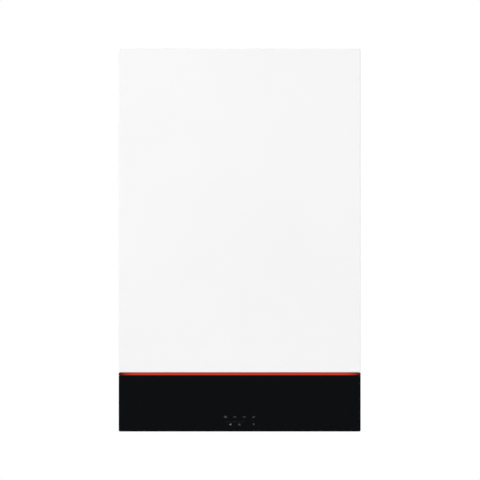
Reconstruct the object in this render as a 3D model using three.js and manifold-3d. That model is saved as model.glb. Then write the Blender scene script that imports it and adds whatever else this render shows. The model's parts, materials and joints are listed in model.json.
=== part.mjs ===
import * as THREE from 'three';
import { mergeVertices } from 'three/addons/utils/BufferGeometryUtils.js';
import Module from 'manifold-3d';

const wasm = await Module();
wasm.setup();

// Casing, in mm: X across, Y towards the wall (wall face at 0), Z up from the bottom edge.
const WIDTH = 600;
const HEIGHT = 950;
const DEPTH = 500;
const SHEET = 1.5;
const FIT = 0.3;
const PANEL_GAP = 0.6;
const EDGE_RADIUS = 3;
const COVER_RETURN = 32;
const SIDE_FLANGE = 16;
const HANG_DROP = 82;
const BACK_OFFSET = 20;
const PLATE_LEVEL = 62;

// Fascia and control tray.
const FASCIA_HEIGHT = 145.5;
const STRIP_HEIGHT = 6.5;
const GLASS = 4;
const CARRIER_DEPTH = 26;
const CARRIER_WALL = 2.5;
const PIVOT_BACK = 16;
const PIVOT_HEIGHT = 14;
const PIN_RADIUS = 4;
const TRAY_ROOM = 140;
const TRAY_CLEAR = 12;
const BOX_SIDE_ROOM = 120;
const BOX_WALL = 2.5;

// Line between the bay of the combustion group and the bay of the store.
const BAY_SPLIT = 0.2;

// Hot water store.
const TANK_AHEAD = 1.2;
const TANK_BEHIND = 63.2;
const TANK_WALL = 2.5;
const FOAM = 17.5;
const TANK_SIDE_CLEAR = 2.7;
const TANK_BASE_HEIGHT = 54.5;
const TANK_HEAD_ROOM = 82;

// Combustion group.
const DRUM_SIDE_ROOM = 28;
const DRUM_PIPE_ROOM = 28.2;
const DRUM_HEAD_ROOM = 260;
const DRUM_BEHIND = 106;
const DRUM_AHEAD = 160;
const FAN_DEPTH = 54;
const FAN_AHEAD = 80;
const FAN_SHIFT = 65;
const FAN_DROP = 208;
const FLUE_DEPTH = 190;
const FLUE_RADIUS = 30;
const AIR_RADIUS = 50;

// Water connections.
const STUB_DEPTH = 44;
const STUB_PITCH = 65;
const STUB_RADIUS = 11;
const STUB_END = 6;

// Derived lines.
const FRONT = -DEPTH;
const HALF = WIDTH / 2;
const COVER_BOTTOM = FASCIA_HEIGHT + PANEL_GAP;
const COVER_REAR = FRONT + COVER_RETURN;
const SIDE_FRONT = COVER_REAR + PANEL_GAP;
const INNER = HALF - SHEET;
const BACK_FACE = -BACK_OFFSET;
const HANG_HEIGHT = HEIGHT - HANG_DROP;
const PIVOT_Y = FRONT + PIVOT_BACK;
const PLATE_TOP = PLATE_LEVEL + SHEET;
const PLATE_DEPTH = DEPTH - TRAY_ROOM;
const BOX_HALF = HALF - BOX_SIDE_ROOM;
const BOX_REAR = -PLATE_DEPTH - TRAY_CLEAR;
const STORE_WIDTH = INNER - TANK_SIDE_CLEAR - BAY_SPLIT;
const STORE_DEPTH = PLATE_DEPTH - TANK_AHEAD - TANK_BEHIND;
const FOAM_RADIUS = Math.min(STORE_WIDTH, STORE_DEPTH) / 2;
const TANK_RADIUS = FOAM_RADIUS - FOAM - FIT;
const TANK_X = INNER - TANK_SIDE_CLEAR - FOAM_RADIUS;
const TANK_DEPTH = PLATE_DEPTH - TANK_AHEAD - FOAM_RADIUS;
const TANK_BOTTOM = PLATE_TOP + TANK_BASE_HEIGHT;
const TANK_TOP = HEIGHT - TANK_HEAD_ROOM;
const DRUM_RADIUS = (BAY_SPLIT + HALF - DRUM_SIDE_ROOM - DRUM_PIPE_ROOM) / 2;
const DRUM_X = -HALF + DRUM_SIDE_ROOM + DRUM_RADIUS;
const DRUM_Z = HEIGHT - DRUM_HEAD_ROOM;
const DRUM_REAR = BACK_OFFSET + DRUM_BEHIND;
const DRUM_FRONT = DEPTH - DRUM_AHEAD;
const FAN_FRONT = DEPTH - FAN_AHEAD;
const FAN_REAR = FAN_FRONT - FAN_DEPTH;
const FAN_X = DRUM_X + FAN_SHIFT;
const FAN_Z = DRUM_Z - FAN_DROP;

const group = new THREE.Group();
group.name = 'combi_boiler';
const casing = new THREE.Group();
casing.name = 'casing_frame';
casing.position.z = -HANG_HEIGHT;
group.add(casing);

const paint = (color, roughness, metalness) =>
  new THREE.MeshStandardMaterial({ color, roughness, metalness });

function part(name, geometry, color, roughness, metalness) {
  const mesh = new THREE.Mesh(geometry, paint(color, roughness, metalness));
  mesh.name = name;
  casing.add(mesh);
  return mesh;
}

// Closed triangle soup to solid and back.
function solid(geometry) {
  const bare = geometry.clone();
  for (const key of Object.keys(bare.attributes)) {
    if (key !== 'position') bare.deleteAttribute(key);
  }
  const merged = mergeVertices(bare, 1e-4);
  const at = merged.attributes.position;
  const corners = [0, 1, 2].map(() => new THREE.Vector3());
  const faces = [];
  let volume = 0;
  for (let i = 0; i < merged.index.count; i += 3) {
    const ids = [0, 1, 2].map((k) => merged.index.getX(i + k));
    if (ids[0] === ids[1] || ids[1] === ids[2] || ids[2] === ids[0]) continue;
    ids.forEach((id, k) => corners[k].fromBufferAttribute(at, id));
    volume += corners[0].dot(corners[1].clone().cross(corners[2]));
    faces.push(ids);
  }
  if (volume < 0) faces.forEach((ids) => ids.reverse());
  return new wasm.Manifold(new wasm.Mesh({
    numProp: 3,
    vertProperties: new Float32Array(at.array),
    triVerts: new Uint32Array(faces.flat()),
  }));
}

function surface(body) {
  const mesh = body.getMesh();
  const geometry = new THREE.BufferGeometry();
  geometry.setAttribute('position', new THREE.BufferAttribute(mesh.vertProperties, 3));
  geometry.setIndex(new THREE.BufferAttribute(mesh.triVerts, 1));
  geometry.computeVertexNormals();
  return geometry;
}

const join = (...bodies) => bodies.reduce((sum, body) => sum.add(body));
const cut = (body, ...tools) => tools.reduce((rest, tool) => rest.subtract(tool), body);

function box(x0, x1, y0, y1, z0, z1) {
  const geometry = new THREE.BoxGeometry(Math.abs(x1 - x0), Math.abs(y1 - y0), Math.abs(z1 - z0));
  geometry.translate((x0 + x1) / 2, (y0 + y1) / 2, (z0 + z1) / 2);
  return solid(geometry);
}

// Turned body: profile points are [radius, distance along the axis].
function turned(axis, origin, profile, sides = 20) {
  const points = profile.map(([r, d]) => new THREE.Vector2(r, d));
  if (!points.some((p) => p.x === 0)) points.push(points[0].clone());
  const geometry = new THREE.LatheGeometry(points, sides);
  if (axis === 'z') geometry.rotateX(Math.PI / 2);
  if (axis === 'x') geometry.rotateZ(-Math.PI / 2);
  geometry.translate(origin[0], origin[1], origin[2]);
  return solid(geometry);
}

function rod(axis, x, y, z, radius, from, to, sides = 20) {
  return turned(axis, [x, y, z], [[0, from], [radius, from], [radius, to], [0, to]], sides);
}

// Flat outline pushed along one axis; points are the two other coordinates in x, y, z order.
function extruded(axis, points, from, to, holes = []) {
  const shape = new THREE.Shape(points.map(([a, b]) => new THREE.Vector2(a, b)));
  for (const hole of holes) shape.holes.push(new THREE.Path(hole.map(([a, b]) => new THREE.Vector2(a, b))));
  const geometry = new THREE.ExtrudeGeometry(shape, { depth: to - from, bevelEnabled: false });
  const at = geometry.attributes.position;
  for (let i = 0; i < at.count; i += 1) {
    const a = at.getX(i);
    const b = at.getY(i);
    const c = at.getZ(i) + from;
    if (axis === 'x') at.setXYZ(i, c, a, b);
    if (axis === 'y') at.setXYZ(i, a, c, b);
    if (axis === 'z') at.setXYZ(i, a, b, c);
  }
  return solid(geometry);
}

// Skin over closed rings of equal count, with flat ends.
function skin(rings) {
  const count = rings[0].length;
  const positions = rings.flat().flatMap((p) => [p.x, p.y, p.z]);
  const index = [];
  for (let r = 0; r + 1 < rings.length; r += 1) {
    for (let i = 0; i < count; i += 1) {
      const a = r * count + i;
      const b = r * count + ((i + 1) % count);
      index.push(a, b, b + count, a, b + count, a + count);
    }
  }
  const last = (rings.length - 1) * count;
  for (let i = 1; i + 1 < count; i += 1) {
    index.push(0, i + 1, i, last, last + i, last + i + 1);
  }
  const geometry = new THREE.BufferGeometry();
  geometry.setAttribute('position', new THREE.Float32BufferAttribute(positions, 3));
  geometry.setIndex(index);
  return solid(geometry);
}

function roundedOutline(x0, x1, z0, z1, radius, steps = 3) {
  const points = [];
  const left = x0 + radius;
  const right = x1 - radius;
  const low = z0 + radius;
  const high = z1 - radius;
  const centres = [[right, high], [left, high], [left, low], [right, low]];
  centres.forEach(([cx, cz], corner) => {
    for (let i = 0; i <= steps; i += 1) {
      const angle = (corner + i / steps) * Math.PI / 2;
      points.push([cx + radius * Math.cos(angle), cz + radius * Math.sin(angle)]);
    }
  });
  return points;
}

// Ring in the XZ plane at depth y, drawn in by an even inset.
function facing(x0, x1, z0, z1, radius, y, inset = 0, steps = 3) {
  const corner = Math.max(radius - inset, 0.4);
  return roundedOutline(x0 + inset, x1 - inset, z0 + inset, z1 - inset, corner, steps)
    .map(([x, z]) => new THREE.Vector3(x, y, z));
}

const circleOutline = (a, b, radius, sides = 20) => Array.from({ length: sides }, (_, i) => {
  const angle = (i + 0.5) * 2 * Math.PI / sides;
  return [a + radius * Math.cos(angle), b + radius * Math.sin(angle)];
});

// Round bar along straight runs joined by arcs.
function pipe(knots, radius, bend = 18, sides = 10, steps = 4) {
  const points = knots.map((k) => new THREE.Vector3(...k));
  const path = [{ p: points[0], t: points[1].clone().sub(points[0]).normalize() }];
  for (let i = 1; i + 1 < points.length; i += 1) {
    const before = points[i].clone().sub(points[i - 1]).normalize();
    const after = points[i + 1].clone().sub(points[i]).normalize();
    const turn = before.angleTo(after);
    if (turn < 1e-3) continue;
    const reach = bend * Math.tan(turn / 2);
    const start = points[i].clone().addScaledVector(before, -reach);
    const inward = after.clone().addScaledVector(before, -before.dot(after)).normalize();
    const centre = start.clone().addScaledVector(inward, bend);
    for (let k = 0; k <= steps; k += 1) {
      const c = Math.cos(turn * k / steps);
      const s = Math.sin(turn * k / steps);
      path.push({
        p: centre.clone().addScaledVector(inward, -bend * c).addScaledVector(before, bend * s),
        t: before.clone().multiplyScalar(c).addScaledVector(inward, s),
      });
    }
  }
  const end = points.length - 1;
  path.push({ p: points[end], t: points[end].clone().sub(points[end - 1]).normalize() });
  const first = path[0].t;
  let side = new THREE.Vector3(0, 0, 1);
  if (Math.abs(first.z) > 0.9) side = new THREE.Vector3(1, 0, 0);
  side.addScaledVector(first, -side.dot(first)).normalize();
  let previous = first;
  const rings = path.map(({ p, t }) => {
    const turnBy = new THREE.Quaternion().setFromUnitVectors(previous, t);
    side.applyQuaternion(turnBy).normalize();
    previous = t;
    const up = new THREE.Vector3().crossVectors(t, side);
    return Array.from({ length: sides }, (_, i) => {
      const angle = (i + 0.5) * 2 * Math.PI / sides;
      const c = radius * Math.cos(angle);
      const s = radius * Math.sin(angle);
      return p.clone().addScaledVector(side, c).addScaledVector(up, s);
    });
  });
  return skin(rings);
}

// Pan open to the rear: a front sheet with returns, its front edge folded round.
function pan(x0, x1, z0, z1, yFront, yRear, wall, fold) {
  const corner = 3;
  return skin([
    facing(x0, x1, z0, z1, corner, yFront + wall, wall),
    facing(x0, x1, z0, z1, corner, yRear, wall),
    facing(x0, x1, z0, z1, corner, yRear),
    facing(x0, x1, z0, z1, corner, yFront + fold),
    facing(x0, x1, z0, z1, corner, yFront + fold * 0.29, fold * 0.29),
    facing(x0, x1, z0, z1, corner, yFront, fold),
  ]);
}

// ---- Casing ----
const WHITE = 0xf4f4f5;
const ZINC = 0xb9bdc0;

const pinHeight = HEIGHT - 16;
const pinSpan = HALF - 80;
const screwSpan = HALF - 120;
const screwY = COVER_REAR + 22;
const railFloor = COVER_BOTTOM + SHEET + FIT;

// Front cover: folded pan, two locating ears at the top, two slotted tabs at the bottom.
{
  let body = pan(-HALF, HALF, COVER_BOTTOM, HEIGHT, FRONT, COVER_REAR, SHEET, EDGE_RADIUS);
  const topInner = HEIGHT - SHEET;
  for (const side of [-1, 1]) {
    const x = side * pinSpan;
    const ear = cut(
      box(x - 18, x + 18, COVER_REAR - SHEET, COVER_REAR, topInner - 30, topInner + 0.5),
      rod('y', x, 0, pinHeight, 3.8, COVER_REAR - 5, COVER_REAR + 5, 10),
    );
    const s = side * screwSpan;
    const tab = cut(
      box(s - 16, s + 16, COVER_REAR - 4, screwY + 12, COVER_BOTTOM, COVER_BOTTOM + SHEET),
      rod('z', s, screwY, 0, 3.8, COVER_BOTTOM - 2, COVER_BOTTOM + 6, 10),
      box(s - 3.8, s + 3.8, screwY, screwY + 20, COVER_BOTTOM - 2, COVER_BOTTOM + 6),
    );
    body = join(body, ear, tab);
  }
  part('front_cover', surface(body), WHITE, 0.35, 0);
}

// Insulating pad with pressed pockets, inside the cover.
{
  const rear = FRONT + SHEET + FIT + 8;
  const padHalf = HALF - 28;
  const pocketX = (padHalf - 8) * 2 / 3;
  const pocketZ = (HEIGHT - COVER_BOTTOM - 80) / 4;
  let pad = skin([
    facing(-padHalf, padHalf, COVER_BOTTOM + 34, HEIGHT - 46, 12, FRONT + SHEET + FIT),
    facing(-padHalf, padHalf, COVER_BOTTOM + 34, HEIGHT - 46, 12, rear - 2),
    facing(-padHalf, padHalf, COVER_BOTTOM + 34, HEIGHT - 46, 12, rear, 3),
  ]);
  for (let row = 0; row < 4; row += 1) {
    for (let col = 0; col < 3; col += 1) {
      const x = (col - 1) * pocketX;
      const z = COVER_BOTTOM + 34 + (row + 0.5) * pocketZ;
      pad = cut(pad, box(x - 74, x + 74, rear - 3, rear + 5, z - 72, z + 72));
    }
  }
  part('cover_insulation', surface(pad), 0x4a4c4f, 0.95, 0);
}

// Side panels with folded front, rear and top edges.
for (const side of [-1, 1]) {
  const x = (d) => side * (HALF - d);
  const span = (d0, d1, ...rest) => box(Math.min(x(d0), x(d1)), Math.max(x(d0), x(d1)), ...rest);
  const body = join(
    span(0, SHEET, SIDE_FRONT, 0, 0, HEIGHT),
    span(0, SIDE_FLANGE, SIDE_FRONT, SIDE_FRONT + SHEET, COVER_BOTTOM + 36, HEIGHT - 32),
    span(0, SIDE_FLANGE, -SHEET, 0, 90, HEIGHT - 60),
  );
  part(side < 0 ? 'side_panel_left' : 'side_panel_right', surface(body), WHITE, 0.35, 0);
}

// Top panel: front flange with two locating pins, flue and air openings.
{
  const top = HEIGHT - SHEET * 2 - FIT * 2;
  const edge = INNER - FIT;
  let body = join(
    box(-edge, edge, SIDE_FRONT, BACK_FACE + FIT, top, top + SHEET),
    box(-edge, edge, SIDE_FRONT, SIDE_FRONT + SHEET, top - 24, top + 0.5),
  );
  for (const pinSide of [-1, 1]) {
    const x = pinSide * pinSpan;
    body = join(body, rod('y', x, 0, pinHeight, 3.2, COVER_REAR - 12, SIDE_FRONT + 0.5, 14));
  }
  body = cut(body, extruded('z', circleOutline(DRUM_X, -FLUE_DEPTH, AIR_RADIUS + 4, 28), top - 5, top + 8));
  part('top_panel', surface(body), WHITE, 0.35, 0);
}

// Back panel with pressed beads and folded side edges.
{
  const edge = INNER - FIT;
  const rear = BACK_FACE + SHEET;
  let body = box(-edge, edge, BACK_FACE, rear, PLATE_LEVEL - 20, HEIGHT - 8);
  for (const z of [HEIGHT * 0.21, HEIGHT * 0.53]) {
    const bead = skin([
      facing(-HALF + 60, HALF - 60, z, z + 60, 20, rear - 0.5),
      facing(-HALF + 60, HALF - 60, z, z + 60, 20, rear + 3, 5),
    ]);
    body = join(body, bead);
  }
  part('back_panel', surface(body), ZINC, 0.45, 0.7);
}

// Bottom plate with turned-down front edge and pipe holes.
const stubX = (i) => (i - 2) * STUB_PITCH;
const trapX = -HALF + 50;
const trapY = -150;
{
  const edge = INNER - FIT;
  const front = -PLATE_DEPTH;
  let body = join(
    box(-edge, edge, front, BACK_FACE - FIT, PLATE_LEVEL, PLATE_TOP),
    box(-edge, edge, front, front + SHEET, PLATE_LEVEL - 14, PLATE_TOP),
  );
  for (let i = 0; i < 5; i += 1) {
    const hole = rod('z', stubX(i), -STUB_DEPTH, 0, STUB_RADIUS + 3, PLATE_LEVEL - 5, PLATE_TOP + 5, 14);
    body = cut(body, hole);
  }
  body = cut(body, rod('z', trapX, trapY, 0, 16, PLATE_LEVEL - 5, PLATE_TOP + 5, 14));
  part('bottom_plate', surface(body), ZINC, 0.45, 0.7);
}

// Front rail: channel that the cover tabs are screwed to.
{
  const edge = INNER - FIT;
  const y0 = SIDE_FRONT + SHEET + FIT;
  const y1 = y0 + 36;
  const lip = railFloor + 30;
  const profile = [
    [y0, railFloor], [y1, railFloor], [y1, lip], [y1 - SHEET, lip],
    [y1 - SHEET, railFloor + SHEET], [y0 + SHEET, railFloor + SHEET], [y0 + SHEET, lip], [y0, lip],
  ];
  let body = extruded('x', profile, -edge, edge);
  for (const side of [-1, 1]) {
    body = cut(body, rod('z', side * screwSpan, screwY, 0, 3.4, railFloor - 3, railFloor + 5, 10));
  }
  part('front_rail', surface(body), ZINC, 0.45, 0.7);
}

// Quarter-turn screws under the cover tabs.
for (const side of [-1, 1]) {
  const x = side * screwSpan;
  const head = COVER_BOTTOM - FIT;
  const body = cut(
    turned('z', [x, screwY, 0], [
      [0, head - 5], [6, head - 5], [7, head - 4], [7, head], [3, head], [3, head + 12], [0, head + 12],
    ], 14),
    box(x - 0.6, x + 0.6, screwY - 9, screwY + 9, head - 7, head - 3),
  );
  const cross = box(x - 6, x + 6, screwY - 1.4, screwY + 1.4, head + 9, head + 12);
  part(side < 0 ? 'cover_screw_left' : 'cover_screw_right', surface(join(body, cross)), 0xc9ccce, 0.3, 0.9);
}

// Hanger rail hooked over the wall bracket.
const bracketHalf = HALF - 80;
const backOuter = BACK_FACE + SHEET + FIT;
{
  const z = HANG_HEIGHT;
  const bracket = [
    [0, z - 30], [0, z + 34], [-3, z + 34], [-3, z + 6], [-9, z + 6],
    [-9, z + 22], [-12, z + 22], [-12, z + 3], [-3, z + 3], [-3, z - 30],
  ];
  let wall = extruded('x', bracket, -bracketHalf, bracketHalf);
  for (const x of [30 - bracketHalf, 100 - bracketHalf, bracketHalf - 100, bracketHalf - 30]) {
    wall = cut(wall, extruded('y', roundedOutline(x - 12, x + 12, z - 20, z - 11, 4.4), -8, 4));
  }
  part('wall_bracket', surface(wall), ZINC, 0.4, 0.8);
  const hook = [
    [backOuter, z - 20], [backOuter, z + 28], [-5.5, z + 28], [-5.5, z + 6 + FIT],
    [-8.5, z + 6 + FIT], [-8.5, z + 25], [-15.2, z + 25], [-15.2, z - 20],
  ];
  const rail = extruded('x', hook.reverse(), -bracketHalf + 10, bracketHalf - 10);
  part('hanger_rail', surface(rail), ZINC, 0.4, 0.8);
}

// Rubber buffers against the wall at the lower back.
for (const side of [-1, 1]) {
  const profile = [[0, 0], [16, 0], [18, -3], [18, backOuter], [0, backOuter]];
  const body = turned('y', [side * (HALF - 100), 0, 110], profile, 20);
  part(side < 0 ? 'wall_buffer_left' : 'wall_buffer_right', surface(body), 0x222325, 0.9, 0);
}

// ---- Control tray, swinging on two pins below the cover ----
const BLACK = 0x121315;
const glassRear = FRONT + GLASS;
const carrierFront = glassRear + FIT;
const carrierRear = carrierFront + CARRIER_DEPTH;
const carrierHalf = INNER - 0.9;
const plateRear = carrierFront + CARRIER_WALL;
const stripBottom = FASCIA_HEIGHT - STRIP_HEIGHT;
const displayHalf = 60;
const armOuter = carrierHalf - CARRIER_WALL - 0.8;
const armInner = armOuter - 3;
const earOuter = armInner - 1;
const earInner = earOuter - 6;

{
  const outline = [
    [-HALF, stripBottom - FIT], [-HALF, 3], [-HALF + 0.9, 0.9], [-HALF + 3, 0],
    [HALF - 3, 0], [HALF - 0.9, 0.9], [HALF, 3], [HALF, stripBottom - FIT],
  ];
  part('fascia_glass', surface(extruded('y', outline, FRONT, glassRear)), 0x0f1012, 0.06, 0);
  const strip = box(-HALF, HALF, FRONT, glassRear, stripBottom, FASCIA_HEIGHT);
  part('light_guide', surface(strip), 0xc53927, 0.25, 0);
}

{
  const top = FASCIA_HEIGHT - 0.6;
  let body = pan(-carrierHalf, carrierHalf, 0.6, top, carrierFront, carrierRear, CARRIER_WALL, 1);
  body = cut(body, box(-displayHalf - 2, displayHalf + 2, carrierFront - 3, plateRear + 3, 8, 66));
  for (const side of [-1, 1]) {
    const at = (a, b) => [Math.min(side * a, side * b), Math.max(side * a, side * b)];
    const slot = box(...at(armInner - 1.5, armOuter + 0.8), plateRear + 1, carrierRear + 2, -2, 5);
    const low = PIVOT_HEIGHT - 9;
    const ear = box(...at(earInner, earOuter), plateRear - 0.5, PIVOT_Y + 9, low, low + 18);
    const bore = at(earInner - 3, earOuter + 0.5);
    body = join(cut(body, slot), ear);
    body = cut(body, rod('x', 0, PIVOT_Y, PIVOT_HEIGHT, PIN_RADIUS + 0.4, ...bore, 12));
  }
  for (let i = 0; i < 6; i += 1) {
    const x = (i - 2.5) * (HALF - 50) / 2.5;
    const low = Math.abs(x) < BOX_HALF + 5 ? 129 : 70;
    body = join(body, box(x - 1.2, x + 1.2, plateRear - 0.5, plateRear + 8, low, FASCIA_HEIGHT - 2));
  }
  part('fascia_carrier', surface(body), BLACK, 0.55, 0);
}

for (const side of [-1, 1]) {
  const at = (a, b) => [Math.min(side * a, side * b), Math.max(side * a, side * b)];
  const top = PIVOT_HEIGHT + 8;
  const armRear = SIDE_FRONT + 37;
  const body = join(
    box(...at(armInner, armOuter), PIVOT_Y, armRear, PIVOT_HEIGHT - 8, top),
    rod('x', 0, PIVOT_Y, PIVOT_HEIGHT, 8, ...at(armInner, armOuter), 20),
    box(...at(armInner, INNER - FIT), armRear - 31, armRear, PIVOT_HEIGHT - 8, top + 26),
    rod('x', 0, PIVOT_Y, PIVOT_HEIGHT, PIN_RADIUS, ...at(earInner - 4, armInner + 1), 12),
  );
  part(side < 0 ? 'hinge_arm_left' : 'hinge_arm_right', surface(body), ZINC, 0.4, 0.8);
}

{
  const rear = plateRear + 9;
  let body = box(-displayHalf, displayHalf, glassRear + FIT, rear, 10, 64);
  for (let i = 0; i < 3; i += 1) {
    body = join(body, box(-44 + i * 34, -24 + i * 34, rear - 0.5, rear + 3, 50, 58));
  }
  part('display_module', surface(body), 0x1d2b24, 0.6, 0);
}

// Electronics box: its rear top corner is sloped so that it swings clear below the cover.
const boxFront = plateRear + FIT;
const boxLow = 16;
const boxTop = FASCIA_HEIGHT - 23.5;
const kneeLow = boxTop - 60;
const kneeHigh = boxTop - 13;
{
  const outline = [
    [boxFront, boxLow], [BOX_REAR, boxLow], [BOX_REAR, kneeLow],
    [BOX_REAR - 40, kneeHigh], [BOX_REAR - 69, boxTop], [boxFront, boxTop],
  ];
  let body = extruded('x', outline, -BOX_HALF, BOX_HALF);
  const inner = [
    [boxFront + BOX_WALL, boxLow + BOX_WALL], [BOX_REAR - BOX_WALL, boxLow + BOX_WALL],
    [BOX_REAR - BOX_WALL, boxTop + 18], [boxFront + BOX_WALL, boxTop + 18],
  ];
  body = cut(
    body,
    extruded('x', inner, -BOX_HALF + BOX_WALL, BOX_HALF - BOX_WALL),
    box(-displayHalf - 3, displayHalf + 3, boxFront - 3, plateRear + 14, boxLow - 10, 67),
  );
  for (let i = 0; i < 9; i += 1) {
    const x = (i - 4) * BOX_HALF * 0.195;
    body = cut(body, box(x - 9, x + 9, BOX_REAR - 8, BOX_REAR + 7, boxLow + 12, kneeLow - 12));
  }
  part('control_box', surface(body), 0xd9dadb, 0.6, 0);

  const lid = [
    [boxFront, boxTop + FIT], [BOX_REAR - 69, boxTop + FIT], [BOX_REAR - 39.8, kneeHigh + FIT],
    [BOX_REAR + 0.2, kneeLow + FIT], [BOX_REAR + 2.4, kneeLow + 1.9], [BOX_REAR - 38, kneeHigh + 2.6],
    [BOX_REAR - 68.4, boxTop + 3], [boxFront, boxTop + 3],
  ];
  let cover = extruded('x', lid.reverse(), -BOX_HALF, BOX_HALF);
  for (let i = 0; i < 12; i += 1) {
    const x = (i - 5.5) * BOX_HALF * 0.135;
    cover = cut(cover, box(x - 7, x + 7, boxFront + 9, boxFront + 42, boxTop - 2, boxTop + 6));
  }
  part('control_box_lid', surface(cover), 0xd9dadb, 0.6, 0);
}

{
  const level = 26;
  const floor = boxLow + BOX_WALL + FIT;
  const front = boxFront + 19;
  const rear = BOX_REAR - 10;
  const edge = BOX_HALF - 14;
  let body = box(-edge, edge, front, rear, level, level + 1.6);
  for (const x of [8 - edge, edge - 8]) {
    for (const y of [front + 8, rear - 8]) body = join(body, rod('z', x, y, 0, 4, floor, level + 0.5, 10));
  }
  for (let i = 0; i < 6; i += 1) {
    const x = 16 - edge + i * 22;
    body = join(body, box(x, x + 16, rear - 38, rear - 10, level + 1, level + 18));
  }
  for (let i = 0; i < 4; i += 1) {
    body = join(body, rod('z', 20 + i * 26, rear - 23, 0, 9, level + 1, level + 30, 10));
  }
  body = join(
    body,
    box(edge - 76, edge - 16, front + 10, front + 46, level + 1, level + 34),
    box(46 - edge, 96 - edge, front + 12, front + 42, level + 1, level + 8),
  );
  part('main_board', surface(body), 0x1f5a36, 0.6, 0);
}

// ---- Hot water store ----
{
  const b = TANK_BOTTOM;
  const t = TANK_TOP;
  const r = TANK_RADIUS;
  const w = TANK_WALL;
  const crown = 0.54 * r;
  const shoulder = 0.85 * r;
  const body = turned('z', [TANK_X, -TANK_DEPTH, 0], [
    [0, b], [crown, b + 5], [shoulder, b + 19], [r, b + 42],
    [r, t - 42], [shoulder, t - 19], [crown, t - 5], [48, t - 2], [48, t + 12], [34, t + 12],
    [34, t - 4], [crown - w, t - 8], [shoulder - w, t - 21], [r - w, t - 43],
    [r - w, b + 43], [shoulder - w, b + 21], [crown - w, b + 7.5], [0, b + w],
  ], 24);
  part('storage_tank', surface(body), 0xb8bcc0, 0.3, 0.9);

  const lid = turned('z', [TANK_X, -TANK_DEPTH, 0], [
    [0, t + 12 + FIT], [48, t + 12 + FIT], [48, t + 18], [30, t + 20], [0, t + 20],
  ], 24);
  part('tank_lid', surface(lid), 0x2a2b2d, 0.6, 0);

  const outer = FOAM_RADIUS;
  const base = turned('z', [TANK_X, -TANK_DEPTH, 0], [
    [30, PLATE_TOP + FIT], [outer, PLATE_TOP + FIT], [outer, b + 42], [r + FIT, b + 42],
    [shoulder + FIT, b + 18.5], [crown + FIT, b + 4.4], [30, b + 1],
  ], 24);
  part('tank_base', surface(base), 0x2c2e30, 0.95, 0);

  for (const side of [-1, 1]) {
    const points = [];
    const steps = 12;
    for (let i = 0; i <= steps; i += 1) {
      const a = (0.012 + 0.976 * i / steps) * Math.PI * side;
      points.push([TANK_X + outer * Math.cos(a), -TANK_DEPTH + outer * Math.sin(a)]);
    }
    for (let i = steps; i >= 0; i -= 1) {
      const a = (0.012 + 0.976 * i / steps) * Math.PI * side;
      points.push([TANK_X + (r + 0.6) * Math.cos(a), -TANK_DEPTH + (r + 0.6) * Math.sin(a)]);
    }
    let shell = extruded('z', points, b + 42 + FIT, t - 34);
    const grooveFloor = -TANK_DEPTH + side * (outer - 4);
    for (let i = 0; i < 7; i += 1) {
      const z = b + 110 + i * 82;
      shell = cut(shell, box(TANK_X - 60, TANK_X + 60, grooveFloor, grooveFloor + side * 13, z, z + 9));
    }
    part(side < 0 ? 'tank_insulation_front' : 'tank_insulation_rear', surface(shell), 0x2c2e30, 0.95, 0);
  }
}

// ---- Combustion group ----
const STEEL = 0xb4b8bb;
const CAST = 0xa9adb1;
const drumFront = -DRUM_FRONT;
const drumRear = -DRUM_REAR;
const drumWall = 4;
const doorHole = DRUM_RADIUS - 20;
const doorBead = DRUM_RADIUS - 32;
const doorBolts = DRUM_RADIUS - 11;
const burnerRadius = 32;
const ductCollar = 40;
const electrodeReach = (ductCollar + doorBead - 6) / 2;
const flowPortY = drumRear - 44;
const returnPortY = drumFront + 50;
const drainY = drumRear - 79;
const drumTop = DRUM_Z + DRUM_RADIUS;
const doorFront = drumFront - FIT - 6;

{
  let body = turned('y', [DRUM_X, 0, DRUM_Z], [
    [0, drumRear], [DRUM_RADIUS - 6, drumRear], [DRUM_RADIUS, drumRear - 6], [DRUM_RADIUS, drumFront],
    [doorHole, drumFront], [doorHole, drumFront + drumWall], [DRUM_RADIUS - drumWall, drumFront + drumWall],
    [DRUM_RADIUS - drumWall, drumRear - drumWall], [0, drumRear - drumWall],
  ], 24);
  const outlet = (r, z0, z1) => rod('z', DRUM_X, -FLUE_DEPTH, 0, r, z0, z1, 20);
  body = join(body, outlet(35, drumTop - 12, drumTop + 14));
  body = cut(
    body,
    outlet(31, drumTop - 30, drumTop + 16),
    rod('y', DRUM_X, 0, DRUM_Z, DRUM_RADIUS - drumWall, drumFront + drumWall, drumRear - drumWall, 24),
  );
  body = join(
    body,
    box(-INNER + FIT, DRUM_X - DRUM_RADIUS + 3, drumRear - 99, drumRear - 69, DRUM_Z - 22, DRUM_Z + 22),
    box(-INNER + FIT, DRUM_X - DRUM_RADIUS + 3, drumFront + 25, drumFront + 55, DRUM_Z - 22, DRUM_Z + 22),
  );
  for (const y of [flowPortY, returnPortY]) {
    body = join(body, rod('x', 0, y, DRUM_Z, 13, DRUM_X + DRUM_RADIUS - 3, DRUM_X + DRUM_RADIUS + 5, 14));
  }
  body = join(body, rod('z', DRUM_X, drainY, 0, 14, DRUM_Z - DRUM_RADIUS - 8, DRUM_Z - DRUM_RADIUS + 3, 16));
  part('heat_exchanger_housing', surface(body), STEEL, 0.35, 0.9);
}

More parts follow.
